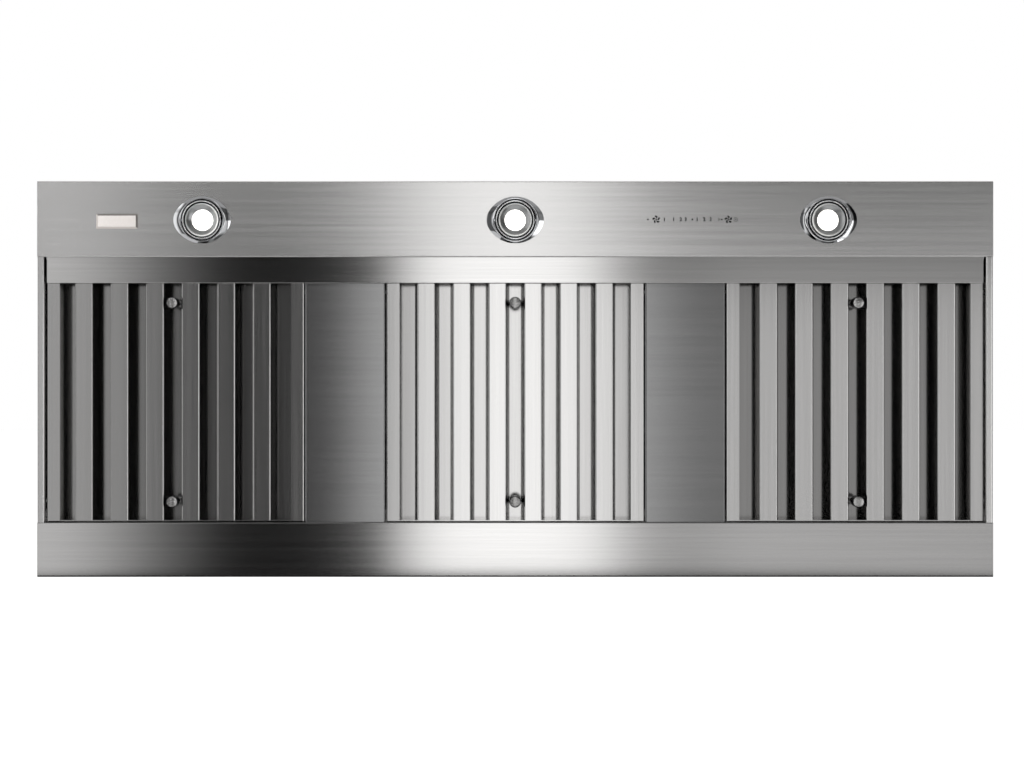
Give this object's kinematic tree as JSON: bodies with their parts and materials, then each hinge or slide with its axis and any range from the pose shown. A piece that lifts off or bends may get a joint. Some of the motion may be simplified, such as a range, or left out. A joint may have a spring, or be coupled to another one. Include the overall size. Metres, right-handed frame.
{
  "type": "range hood insert",
  "caption": "Stainless range hood insert with swing-out baffle filters, tilting round lights, touch controls, twin blowers and duct collars, standing on its rear edge.",
  "frame": {"origin": "middle of the base it stands on: centre of the rear wall's width and of the whole depth, at the rear wall's outer face", "axes": "+Z up as it stands on its rear wall, from the rear edge to the edge with the controls and lights; -Y is the working underside, which faces the cooktop when installed; +Y is the duct side, up when installed; +X to the right seen from the underside. To install it, turn it 90 degrees about X so that +Y points up."},
  "size_m": [1.47, 0.3622, 0.609],
  "materials": {
    "case_steel": "stainless sheet, horizontal brushed grain",
    "filler_steel": "stainless sheet, brushed grain along the width",
    "filter_steel": "bright stainless sheet, fine vertical grain",
    "knob_steel": "turned stainless, polished side and satin face",
    "light_chrome": "polished chrome plate",
    "socket_ceramic": "unglazed white ceramic",
    "lamp_glass": "silvered reflector with a lit lens",
    "galvanised_sheet": "galvanised sheet with a faint spangle",
    "wheel_steel": "galvanised fan steel",
    "motor_paint": "black stoved paint",
    "pin_steel": "drawn bright steel",
    "flap_aluminium": "mill finish sheet",
    "board_plastic": "board in a dull green mask",
    "module_paint": "dark grey powder coat",
    "driver_plastic": "white moulded case",
    "capacitor_plastic": "black moulded case",
    "grommet_rubber": "black rubber"
  },
  "bodies": {
    "case": {"top_panel": "case_steel", "front_panel": "case_steel", "rear_panel": "case_steel", "left_panel": "case_steel", "right_panel": "case_steel", "filter_rail": "case_steel", "rear_ledge": "case_steel", "filler_left": "filler_steel", "filler_right": "filler_steel", "filter_pivots": "pin_steel", "badge_plate": "light_chrome", "touch_board": "board_plastic", "control_module": "module_paint", "light_driver": "driver_plastic", "motor_capacitors": "capacitor_plastic", "junction_box": "galvanised_sheet", "junction_cover": "galvanised_sheet", "wire_grommet": "grommet_rubber", "panel_screws": "pin_steel", "light_flange_left": "light_chrome", "light_flange_centre": "light_chrome", "light_flange_right": "light_chrome", "blower_housing_left": "galvanised_sheet", "blower_housing_right": "galvanised_sheet", "blower_motor_left": "motor_paint", "blower_motor_right": "motor_paint", "motor_bracket_left": "galvanised_sheet", "motor_bracket_right": "galvanised_sheet", "duct_collar_left": "galvanised_sheet", "duct_collar_right": "galvanised_sheet", "damper_spindles": "pin_steel"},
    "filter_left": {"filter_frame_left": "filter_steel", "front_baffles_left": "filter_steel", "rear_baffles_left": "filter_steel", "filter_knobs_left": "knob_steel"},
    "filter_centre": {"filter_frame_centre": "filter_steel", "front_baffles_centre": "filter_steel", "rear_baffles_centre": "filter_steel", "filter_knobs_centre": "knob_steel"},
    "filter_right": {"filter_frame_right": "filter_steel", "front_baffles_right": "filter_steel", "rear_baffles_right": "filter_steel", "filter_knobs_right": "knob_steel"},
    "light_left": {"light_ring_left": "light_chrome", "lamp_left": "lamp_glass", "lamp_socket_left": "socket_ceramic"},
    "light_centre": {"light_ring_centre": "light_chrome", "lamp_centre": "lamp_glass", "lamp_socket_centre": "socket_ceramic"},
    "light_right": {"light_ring_right": "light_chrome", "lamp_right": "lamp_glass", "lamp_socket_right": "socket_ceramic"},
    "wheel_left": {"blower_wheel_left": "wheel_steel", "motor_shaft_left": "pin_steel"},
    "wheel_right": {"blower_wheel_right": "wheel_steel", "motor_shaft_right": "pin_steel"},
    "flap_left_inner": {"damper_flap_left_inner": "flap_aluminium"},
    "flap_left_outer": {"damper_flap_left_outer": "flap_aluminium"},
    "flap_right_inner": {"damper_flap_right_inner": "flap_aluminium"},
    "flap_right_outer": {"damper_flap_right_outer": "flap_aluminium"}
  },
  "joints": [
    {"name": "filter_left_swing", "type": "hinge", "parent": "case", "child": "filter_left", "pos_m": [-0.5245, -0.1391, 0.44], "axis": [-1, 0, 0], "range_deg": [0, 30]},
    {"name": "filter_centre_swing", "type": "hinge", "parent": "case", "child": "filter_centre", "pos_m": [0, -0.1391, 0.44], "axis": [-1, 0, 0], "range_deg": [0, 30]},
    {"name": "filter_right_swing", "type": "hinge", "parent": "case", "child": "filter_right", "pos_m": [0.5245, -0.1391, 0.44], "axis": [-1, 0, 0], "range_deg": [0, 30]},
    {"name": "light_left_tilt", "type": "hinge", "parent": "case", "child": "light_left", "pos_m": [-0.4815, -0.1711, 0.549], "axis": [1, 0, 0], "range_deg": [-15, 15]},
    {"name": "light_centre_tilt", "type": "hinge", "parent": "case", "child": "light_centre", "pos_m": [0, -0.1711, 0.549], "axis": [1, 0, 0], "range_deg": [-15, 15]},
    {"name": "light_right_tilt", "type": "hinge", "parent": "case", "child": "light_right", "pos_m": [0.4815, -0.1711, 0.549], "axis": [1, 0, 0], "range_deg": [-15, 15]},
    {"name": "wheel_left_spin", "type": "hinge", "parent": "case", "child": "wheel_left", "pos_m": [-0.26225, -0.0021, 0.237], "axis": [1, 0, 0], "continuous": true},
    {"name": "wheel_right_spin", "type": "hinge", "parent": "case", "child": "wheel_right", "pos_m": [0.26225, -0.0021, 0.237], "axis": [1, 0, 0], "continuous": true},
    {"name": "flap_left_inner_swing", "type": "hinge", "parent": "case", "child": "flap_left_inner", "pos_m": [-0.26225, 0.1359, 0.3045], "axis": [0, 0, 1], "range_deg": [0, 75], "stiffness_Nm_per_rad": 0.01},
    {"name": "flap_left_outer_swing", "type": "hinge", "parent": "case", "child": "flap_left_outer", "pos_m": [-0.26225, 0.1359, 0.3045], "axis": [0, 0, -1], "range_deg": [0, 75], "stiffness_Nm_per_rad": 0.01},
    {"name": "flap_right_inner_swing", "type": "hinge", "parent": "case", "child": "flap_right_inner", "pos_m": [0.26225, 0.1359, 0.3045], "axis": [0, 0, -1], "range_deg": [0, 75], "stiffness_Nm_per_rad": 0.01},
    {"name": "flap_right_outer_swing", "type": "hinge", "parent": "case", "child": "flap_right_outer", "pos_m": [0.26225, 0.1359, 0.3045], "axis": [0, 0, 1], "range_deg": [0, 75], "stiffness_Nm_per_rad": 0.01}
  ]
}
